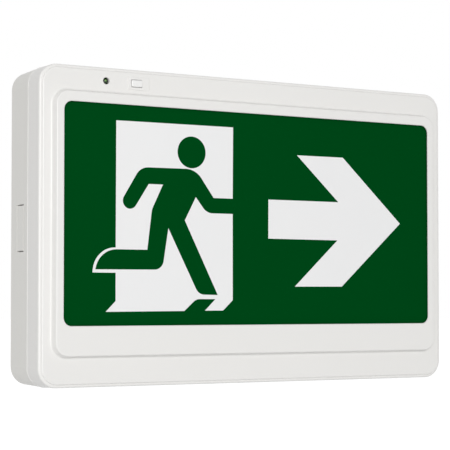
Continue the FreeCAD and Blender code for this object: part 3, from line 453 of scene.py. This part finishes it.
def make_moulding_group() -> bpy.types.NodeTree:
    """Make the group of a moulded or cast surface: slow drift of tone, fine spark-eroded grain,
    and a little handling that changes its gloss.

    Returns:
        The group.
    """
    sheet, given, result = new_surface_group("moulded surface", {
        "Colour": (COLOUR, (0.8, 0.8, 0.8, 1)), "Drift": (COLOUR, (0.76, 0.76, 0.75, 1)),
        "Patch size": (FLOAT, 0.12), "Grain size": (FLOAT, 0.0006),
        "Roughness": (FLOAT, 0.4), "Gloss change": (FLOAT, 0.08),
    })
    place = sheet.add("ShaderNodeTexCoord").outputs["Object"]
    patches = sheet.add("ShaderNodeTexNoise", Vector=place, Detail=3.0, Roughness=0.45,
                        Scale=sheet.maths("DIVIDE", 1.0, given["Patch size"]))
    grain = sheet.add("ShaderNodeTexNoise", Vector=place, Detail=4.0, Roughness=0.6,
                      Scale=sheet.maths("DIVIDE", 1.0, given["Grain size"]))
    rubbed = sheet.add("ShaderNodeTexNoise", Vector=place, Detail=5.0, Roughness=0.7,
                       Scale=HANDLING_MARKS)
    tone = sheet.tint(patches.outputs["Fac"], given["Colour"], given["Drift"])
    centred = sheet.maths("SUBTRACT", rubbed.outputs["Fac"], NOISE_MIDDLE)
    change = sheet.maths("MULTIPLY", centred, given["Gloss change"])
    sheet.join(tone, result["Colour"])
    sheet.join(sheet.maths("ADD", change, given["Roughness"]), result["Roughness"])
    sheet.join(grain.outputs["Fac"], result["Height"])
    return sheet.tree


def make_metal_group() -> bpy.types.NodeTree:
    """Make the group of a drawn or plated metal: fine lines along one axis and slight stain.

    Returns:
        The group.
    """
    sheet, given, result = new_surface_group("drawn metal", {
        "Colour": (COLOUR, (0.6, 0.6, 0.6, 1)), "Stain": (COLOUR, (0.45, 0.45, 0.46, 1)),
        "Line scale": (VECTOR, (400.0, 6000.0, 6000.0)), "Roughness": (FLOAT, 0.3),
        "Line gloss": (FLOAT, 0.18),
    })
    place = sheet.add("ShaderNodeTexCoord").outputs["Object"]
    stretch = sheet.add("ShaderNodeVectorMath", operation="MULTIPLY")
    sheet.join(place, stretch.inputs[0])
    sheet.join(given["Line scale"], stretch.inputs[1])
    lines = sheet.add("ShaderNodeTexNoise", Vector=stretch.outputs[0], Detail=3.0, Scale=1.0)
    stain = sheet.add("ShaderNodeTexNoise", Vector=place, Detail=4.0, Scale=STAINS)
    tone = sheet.tint(stain.outputs["Fac"], given["Colour"], given["Stain"])
    change = sheet.maths("MULTIPLY", lines.outputs["Fac"], given["Line gloss"])
    sheet.join(tone, result["Colour"])
    sheet.join(sheet.maths("ADD", change, given["Roughness"]), result["Roughness"])
    sheet.join(lines.outputs["Fac"], result["Height"])
    return sheet.tree


@dataclass(frozen=True)
class Finish(ABC):
    """A finish: what every material here has, whatever it is made of."""

    name: str
    colour: Colour
    drift: Colour
    roughness: float = 0.4

    @abstractmethod
    def build(self, group: bpy.types.NodeTree) -> bpy.types.Material:
        """Make the material.

        Args:
            group: the group of this kind of surface.

        Returns:
            The material.
        """

    def start(
            self, group: bpy.types.NodeTree, **settings: object,
    ) -> tuple[bpy.types.Material, NodeSheet, bpy.types.Node, bpy.types.Node]:
        """Start the material with its shader and the group that gives its colour and gloss.

        Args:
            group: the group of this kind of surface.
            settings: the group's inputs besides Colour and Roughness, with underscores for
                their spaces.

        Returns:
            The material, the sheet to draw on, the group's node and the Principled shader.
        """
        material, sheet = blank_material(self.name)
        surface = sheet.add("ShaderNodeGroup", node_tree=group, Colour=opaque(self.colour),
                            Roughness=self.roughness, **settings)
        shader = sheet.add("ShaderNodeBsdfPrincipled", Base_Color=surface.outputs["Colour"],
                           Roughness=surface.outputs["Roughness"])
        sheet.add("ShaderNodeOutputMaterial", Surface=shader.outputs["BSDF"])
        return material, sheet, surface, shader

    def raise_grain(self, sheet: NodeSheet, surface: bpy.types.Node, shader: bpy.types.Node,
                    depth: float) -> None:
        """Let the group's height raise the surface.

        Args:
            sheet: the material's sheet.
            surface: the group's node.
            shader: the material's shader.
            depth: what a height of 1 is, in metres.
        """
        bump = sheet.add("ShaderNodeBump", Strength=1.0, Distance=depth,
                         Height=surface.outputs["Height"])
        sheet.join(bump.outputs["Normal"], shader.inputs["Normal"])


@dataclass(frozen=True)
class MouldedFinish(Finish):
    """Moulded plastic, rubber, ferrite or a paper sleeve."""

    patch_size: float = 0.12
    grain_size: float = 0.0006
    grain_depth: float = 0.00001
    gloss_change: float = 0.08
    specular: float = 0.5
    coat: float = 0.0
    coat_roughness: float = 0.08

    def build(self, group: bpy.types.NodeTree) -> bpy.types.Material:
        """Make the material.

        Args:
            group: the group of moulded surfaces.

        Returns:
            The material.
        """
        material, sheet, surface, shader = self.start(
            group, Drift=opaque(self.drift), Patch_size=self.patch_size,
            Grain_size=self.grain_size, Gloss_change=self.gloss_change)
        self.raise_grain(sheet, surface, shader, self.grain_depth)
        sheet.set(shader, Specular_IOR_Level=self.specular, Coat_Weight=self.coat,
                  Coat_Roughness=self.coat_roughness)
        return material


@dataclass(frozen=True)
class MetalFinish(Finish):
    """Plated steel, brass or tinned metal."""

    line_scale: Triple = (400.0, 6000.0, 6000.0)
    line_depth: float = 0.000004
    line_gloss: float = 0.18

    def build(self, group: bpy.types.NodeTree) -> bpy.types.Material:
        """Make the material.

        Args:
            group: the group of drawn metals.

        Returns:
            The material.
        """
        material, sheet, surface, shader = self.start(
            group, Stain=opaque(self.drift), Line_scale=self.line_scale,
            Line_gloss=self.line_gloss)
        self.raise_grain(sheet, surface, shader, self.line_depth)
        sheet.set(shader, Metallic=1.0)
        return material


@dataclass(frozen=True)
class LensFinish(Finish):
    """Clear coloured glass or resin, with a bright die behind it where it has one."""

    patch_size: float = 0.002
    grain_size: float = 0.001
    gloss_change: float = 0.02
    transmission: float = 0.5
    ior: float = 1.5
    die: Triple | None = None
    die_radius: float = 0.0009
    die_colour: Colour = (0.20, 0.42, 0.10)

    def build(self, group: bpy.types.NodeTree) -> bpy.types.Material:
        """Make the material.

        Args:
            group: the group of moulded surfaces.

        Returns:
            The material.
        """
        material, sheet, surface, shader = self.start(
            group, Drift=opaque(self.drift), Patch_size=self.patch_size,
            Grain_size=self.grain_size, Gloss_change=self.gloss_change)
        sheet.set(shader, Transmission_Weight=self.transmission, IOR=self.ior)
        if self.die:
            self.show_die(sheet, shader)
        return material

    def show_die(self, sheet: NodeSheet, shader: bpy.types.Node) -> None:
        """Let the die glow softly through the lens, brightest in its middle.

        Args:
            sheet: the material's sheet.
            shader: its shader.
        """
        away = sheet.add("ShaderNodeVectorMath", operation="DISTANCE")
        sheet.join(sheet.add("ShaderNodeTexCoord").outputs["Object"], away.inputs[0])
        away.inputs[1].default_value = self.die
        share = sheet.maths("DIVIDE", away.outputs["Value"], self.die_radius)
        glow = sheet.maths("SUBTRACT", 1.0, share, clamp=True)
        sheet.set(shader, Emission_Strength=glow, Emission_Color=opaque(self.die_colour))


class Finishes:
    """Every finish of the exit light, made once."""

    # the back box's white is partly its own warmer tone and partly painted shade: it is darker
    # than the cover's white so that its sides show a shaded tone
    HOUSING_WHITE_WITH_PAINTED_SHADE = MouldedFinish("housing white plastic with painted side shade", (0.755, 0.747, 0.715),
                                  (0.735, 0.727, 0.695), roughness=0.38, patch_size=0.09,
                                  grain_size=0.0007, grain_depth=0.000012)
    COVER_WHITE = MouldedFinish("cover white plastic", (0.795, 0.787, 0.768), (0.78, 0.772, 0.753),
                                roughness=0.33, patch_size=0.1, grain_size=0.0006,
                                grain_depth=0.000008)
    BUTTON_WHITE = MouldedFinish("button white plastic", (0.83, 0.827, 0.815), (0.81, 0.807, 0.80),
                                 roughness=0.28, patch_size=0.006, grain_size=0.0004,
                                 grain_depth=0.000004)
    SIGN_GREEN = MouldedFinish("sign green", (0.0, 0.061, 0.0092), (0.0, 0.055, 0.0082),
                               roughness=0.5, patch_size=0.12, grain_size=0.002,
                               grain_depth=0.000002, gloss_change=0.04, specular=0.0)
    SIGN_WHITE = MouldedFinish("sign white", (0.83, 0.83, 0.83), (0.81, 0.812, 0.815),
                               roughness=0.3, patch_size=0.03, grain_size=0.002,
                               grain_depth=0.000002, gloss_change=0.04, specular=0.1)
    OPAL = MouldedFinish("opal sheet", (0.82, 0.83, 0.83), (0.78, 0.79, 0.80), roughness=0.2,
                         patch_size=0.05, grain_size=0.0015, grain_depth=0.000002)
    REFLECTOR = MouldedFinish("reflector white", (0.86, 0.86, 0.85), (0.82, 0.82, 0.81),
                              roughness=0.5, patch_size=0.06)
    BLACK_PLASTIC = MouldedFinish("black plastic", (0.012, 0.012, 0.013), (0.02, 0.02, 0.021),
                                  roughness=0.45, patch_size=0.01, grain_size=0.0004)
    RUBBER = MouldedFinish("black rubber", (0.015, 0.015, 0.015), (0.03, 0.029, 0.028),
                           roughness=0.75, patch_size=0.01, grain_size=0.0005,
                           grain_depth=0.00002, specular=0.3)
    BOARD = MouldedFinish("circuit board", (0.012, 0.085, 0.035), (0.02, 0.12, 0.05),
                          roughness=0.32, patch_size=0.004, grain_size=0.0005, coat=0.3)
    STRIP_BOARD = MouldedFinish("lamp strip board", (0.75, 0.75, 0.74), (0.68, 0.68, 0.67),
                                roughness=0.35, patch_size=0.01, grain_size=0.0005, coat=0.2)
    EMITTER = MouldedFinish("lamp phosphor", (0.82, 0.62, 0.10), (0.75, 0.50, 0.06),
                            roughness=0.4, patch_size=0.003, grain_size=0.0003)
    FERRITE = MouldedFinish("ferrite", (0.03, 0.03, 0.032), (0.055, 0.052, 0.05), roughness=0.6,
                            patch_size=0.008, grain_size=0.0003, grain_depth=0.00003)
    TAPE = MouldedFinish("winding tape", (0.75, 0.50, 0.04), (0.62, 0.38, 0.02), roughness=0.3,
                         patch_size=0.01, grain_size=0.0008)
    SLEEVE = MouldedFinish("capacitor sleeve", (0.01, 0.012, 0.03), (0.016, 0.02, 0.05),
                           roughness=0.28, patch_size=0.01, grain_size=0.0008)
    NYLON = MouldedFinish("natural nylon", (0.72, 0.70, 0.62), (0.64, 0.62, 0.53),
                          roughness=0.45, patch_size=0.01, grain_size=0.0006)
    TERMINAL = MouldedFinish("terminal plastic", (0.55, 0.56, 0.57), (0.47, 0.48, 0.49),
                             roughness=0.42, patch_size=0.01, grain_size=0.0006)
    CELL_SLEEVE = MouldedFinish("cell sleeve", (0.03, 0.16, 0.36), (0.02, 0.12, 0.30),
                                roughness=0.25, patch_size=0.02, grain_size=0.001, coat=0.3)
    STEEL = MetalFinish("zinc plated steel", (0.62, 0.62, 0.60), (0.50, 0.50, 0.48),
                        roughness=0.28)
    BRASS = MetalFinish("spring brass", (0.66, 0.50, 0.22), (0.50, 0.36, 0.14), roughness=0.25)
    LAMP = LensFinish("lamp lens", (0.010, 0.040, 0.003), (0.004, 0.016, 0.001), roughness=0.2,
                      transmission=0.1, die=(-0.1097, -0.0474, 0.0929))
    GLASS = LensFinish("fuse glass", (0.85, 0.88, 0.87), (0.80, 0.84, 0.82), roughness=0.05,
                       transmission=0.95)

    def __init__(self) -> None:
        """Make the shared groups."""
        self.moulding = make_moulding_group()
        self.metal = make_metal_group()
        self.made: dict[str, bpy.types.Material] = {}

    def get(self, finish: Finish) -> bpy.types.Material:
        """Give a finish's material, made the first time it is asked for.

        Args:
            finish: the finish.

        Returns:
            Its material.
        """
        if finish.name not in self.made:
            group = self.metal if isinstance(finish, MetalFinish) else self.moulding
            self.made[finish.name] = finish.build(group)
        return self.made[finish.name]


# ------------------------------------------------------------------------ the sign


@dataclass
class Sign:
    """The white fields of the standard symbols on the legend panel: a door with a figure that
    runs through it, and an arrow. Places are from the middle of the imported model."""

    finishes: Finishes
    proud: float = 0.08
    sunk: float = 0.05
    head_radius: float = 10.4
    head: Point = (-49.5, 49.7)

    def door_outline(self) -> list[Corner]:
        """Give the edge of the door's white field, which runs round the figure too.

        Returns:
            The corners, from the top left one.
        """
        return [
            Corner(-103.8, 67.5), Corner(-18.4, 67.8), Corner(-18.7, 20.5),
            # front arm's upper edge, back and shoulders
            Corner(-33.1, 20.5), Corner(-46.5, 38.9, 14), Corner(-86.6, 38.5, 10),
            # rear arm, round its hand
            Corner(-102.1, 13.3, 5.2), Corner(-91.8, 10.9, 5.2),
            Corner(-80.7, 27.9), Corner(-70.5, 27.9),
            # back of the body down to the rear leg
            Corner(-78.4, 11.7, 9), Corner(-81.7, -14.3), Corner(-115.7, -14.4, 14.8),
            Corner(-118.1, -27.2), Corner(-70.8, -26.9, 6.5), Corner(-66.5, -0.2),
            # front leg and foot
            Corner(-44.3, -42.8, 7), Corner(-30.0, -43.1),
            # waist and the front arm's lower edge
            Corner(-54.5, 5.2), Corner(-46.4, 20.6), Corner(-38.3, 10.4, 9), Corner(-18.7, 10.4),
            # foot of the door
            Corner(-18.7, -46.5), Corner(-26.0, -53.3), Corner(-39.6, -53.3),
            Corner(-31.7, -45.8), Corner(-46.1, -45.8, 6.5), Corner(-54.8, -53.5),
            Corner(-110.9, -53.9), Corner(-104.0, -47.1), Corner(-104.0, -29.2),
            # rim round the rear leg
            Corner(-120.1, -29.2), Corner(-118.5, -13.2, 15.5), Corner(-104.0, -13.2),
        ]

    def arrow_outline(self) -> list[Corner]:
        """Give the edge of the arrow.

        Returns:
            The corners.
        """
        return [
            Corner(31.6, 51.7), Corner(68.9, 51.8), Corner(117.1, 7.4), Corner(67.8, -37.1),
            Corner(29.7, -37.3), Corner(64.3, -5.4), Corner(8.8, -5.3), Corner(8.9, 20.9),
            Corner(65.1, 20.9),
        ]

    def build(self) -> None:
        """Make the white fields on the face of the panel."""
        panel_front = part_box("legend_panel")[0].y
        back, front = panel_front + self.sunk * MM, panel_front - self.proud * MM
        white = self.finishes.get(Finishes.SIGN_WHITE)
        head = circle_outline(self.head, self.head_radius)
        door = flat_piece("sign_door_field", [self.door_outline(), head], back, front)
        fit_out(door, Body.HOUSING, white)
        arrow = flat_piece("sign_arrow_field", [self.arrow_outline()], back, front)
        fit_out(arrow, Body.HOUSING, white)


@dataclass
class CoverEdge:
    """The rounded rear edge of the front cover, along its joint with the back box."""

    finishes: Finishes
    depth: float = 29.3
    radius: float = 0.45
    inset: float = 0.22
    corner_radius: float = 12.5

    def build(self) -> None:
        """Lay the bead round the cover, along its whole rear edge."""
        low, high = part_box("front_cover")
        right, top = high.x / MM - self.inset, high.z / MM - self.inset
        left, bottom = low.x / MM + self.inset, low.z / MM + self.inset
        radius = self.corner_radius - self.inset
        outline = [Corner(left, bottom, radius), Corner(right, bottom, radius),
                   Corner(right, top, radius), Corner(left, top, radius)]
        bead = round_bead("cover_edge_bead", outline, -self.depth * MM, self.radius * MM)
        fit_out(bead, Body.HOUSING, self.finishes.get(Finishes.COVER_WHITE))


# ------------------------------------------------------------------------ dressing the model


@dataclass
class PackedNodes:
    """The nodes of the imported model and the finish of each."""

    finishes: Finishes
    finish_of: dict[str, Finish] = field(default_factory=lambda: {
        "back_box": Finishes.HOUSING_WHITE_WITH_PAINTED_SHADE, "front_cover": Finishes.COVER_WHITE,
        "legend_panel": Finishes.SIGN_GREEN, "diffuser": Finishes.OPAL,
        "reflector_tray": Finishes.REFLECTOR, "upper_strip_board": Finishes.STRIP_BOARD,
        "lower_strip_board": Finishes.STRIP_BOARD, "upper_strip_lamps": Finishes.EMITTER,
        "lower_strip_lamps": Finishes.EMITTER, "wire_grommet": Finishes.RUBBER,
        "panel_board": Finishes.BOARD, "panel_board_screws": Finishes.STEEL,
        "status_lamp": Finishes.LAMP, "lamp_spacer": Finishes.BLACK_PLASTIC,
        "switch_case": Finishes.BLACK_PLASTIC, "switch_stem": Finishes.BLACK_PLASTIC,
        "test_button": Finishes.BUTTON_WHITE, "driver_board": Finishes.BOARD,
        "driver_board_screws": Finishes.STEEL, "transformer_core": Finishes.FERRITE,
        "transformer_bobbin": Finishes.TAPE, "mains_capacitor": Finishes.SLEEVE,
        "output_capacitor_1": Finishes.SLEEVE, "output_capacitor_2": Finishes.SLEEVE,
        "control_chip": Finishes.BLACK_PLASTIC, "power_transistor": Finishes.BLACK_PLASTIC,
        "battery_header": Finishes.NYLON, "lamp_header": Finishes.NYLON,
        "fuse": Finishes.GLASS, "fuse_clip_1": Finishes.BRASS, "fuse_clip_2": Finishes.BRASS,
        "terminal_block": Finishes.TERMINAL, "terminal_screws": Finishes.STEEL,
        "battery_cell_1": Finishes.CELL_SLEEVE, "battery_cell_2": Finishes.CELL_SLEEVE,
        "battery_cell_3": Finishes.CELL_SLEEVE, "battery_cradle": Finishes.HOUSING_WHITE_WITH_PAINTED_SHADE,
        "battery_strap": Finishes.STEEL, "strap_screws": Finishes.STEEL,
    })

    def dress(self) -> None:
        """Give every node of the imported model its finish."""
        for name, node in sorted(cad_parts.items()):
            finish = self.finish_of[name]
            node.material_slots[0].material = self.finishes.get(finish)
            LOG.info("%s: %s", name, finish.name)


# ------------------------------------------------------------------------ the studio


@dataclass
class Studio:
    """The floor, the soft light, the pale surroundings and the camera."""

    camera_place: Triple = (-0.51843, -0.92032, -0.0478)
    camera_target: Triple = (0.00435, 0.0, -0.01084)
    sensor_width: float = 36.0
    lens: float = 121.63
    shift: float = 0.0535
    farthest_seen: float = 50.0
    floor_height: float = -0.62
    floor_size: float = 300.0
    floor_colour: Colour = (0.82, 0.82, 0.82)
    floor_glow: float = 1.16
    floor_glow_share: float = 0.88
    background: Colour = (1.0, 1.0, 1.0)
    background_light: float = 1.0
    room_light: float = 0.48
    key_power: float = 78.0
    key_size: float = 1.4
    key_place: Triple = (-1.8, -3.3, 0.4)

    def make_camera(self) -> None:
        """Place the camera a little below the middle, to the left of the sign."""
        clear_selection()
        place, target = Vector(self.camera_place), Vector(self.camera_target)
        turn = (target - place).to_track_quat("-Z", "Y").to_euler()
        bpy.ops.object.camera_add(location=place, rotation=turn)
        camera = bpy.context.object
        camera.name = "camera"
        camera.data.sensor_width = self.sensor_width
        camera.data.lens = self.lens
        camera.data.shift_y = self.shift
        camera.data.clip_end = self.farthest_seen
        bpy.context.scene.camera = camera

    def make_key_light(self) -> None:
        """Hang one large soft light in front, to the left and a little above."""
        clear_selection()
        place = Vector(self.key_place)
        turn = (-place).to_track_quat("-Z", "Y").to_euler()
        bpy.ops.object.light_add(type="AREA", location=place, rotation=turn)
        key = bpy.context.object
        key.name = "key_light"
        key.data.shape = "SQUARE"
        key.data.size = self.key_size
        key.data.energy = self.key_power

    def make_surroundings(self) -> None:
        """Make the world: white where it is seen, and a plain even light for the rest."""
        world = bpy.data.worlds.new("studio")
        bpy.context.scene.world = world
        world.use_nodes = True
        sheet = NodeSheet(world.node_tree)
        lit = sheet.add("ShaderNodeBackground", Color=opaque(self.background),
                        Strength=self.room_light)
        white = sheet.add("ShaderNodeBackground", Color=opaque(self.background),
                          Strength=self.background_light)
        sheet.add("ShaderNodeOutputWorld", Surface=sheet.blend(sheet.seen(), lit, white))

    def make_floor(self) -> None:
        """Lay a plain pale floor below the light."""
        clear_selection()
        bpy.ops.mesh.primitive_plane_add(size=self.floor_size,
                                         location=(0, 0, self.floor_height))
        floor = bpy.context.object
        floor.name = "floor"
        material, sheet = blank_material("pale floor")
        paint = sheet.add("ShaderNodeBsdfDiffuse", Color=opaque(self.floor_colour))
        glow = sheet.add("ShaderNodeEmission", Color=opaque(self.background),
                         Strength=self.floor_glow)
        share = sheet.maths("MULTIPLY", sheet.seen(), self.floor_glow_share)
        sheet.add("ShaderNodeOutputMaterial", Surface=sheet.blend(share, paint, glow))
        floor.data.materials.append(material)

    def build(self) -> None:
        """Make the whole studio."""
        self.make_surroundings()
        self.make_floor()
        self.make_key_light()
        self.make_camera()
        bpy.context.scene.view_settings.view_transform = "Standard"


# ------------------------------------------------------------------------ building it all


def write_sizes() -> None:
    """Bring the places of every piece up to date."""
    bpy.context.view_layer.update()


def main() -> None:
    """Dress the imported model, add its sign and its cover's edge, and set up the studio."""
    logging.basicConfig(level=logging.INFO, format="%(name)s: %(message)s")
    finishes = Finishes()
    PackedNodes(finishes).dress()
    Sign(finishes).build()
    CoverEdge(finishes).build()
    Studio().build()
    write_sizes()


if __name__ == "__main__":
    main()
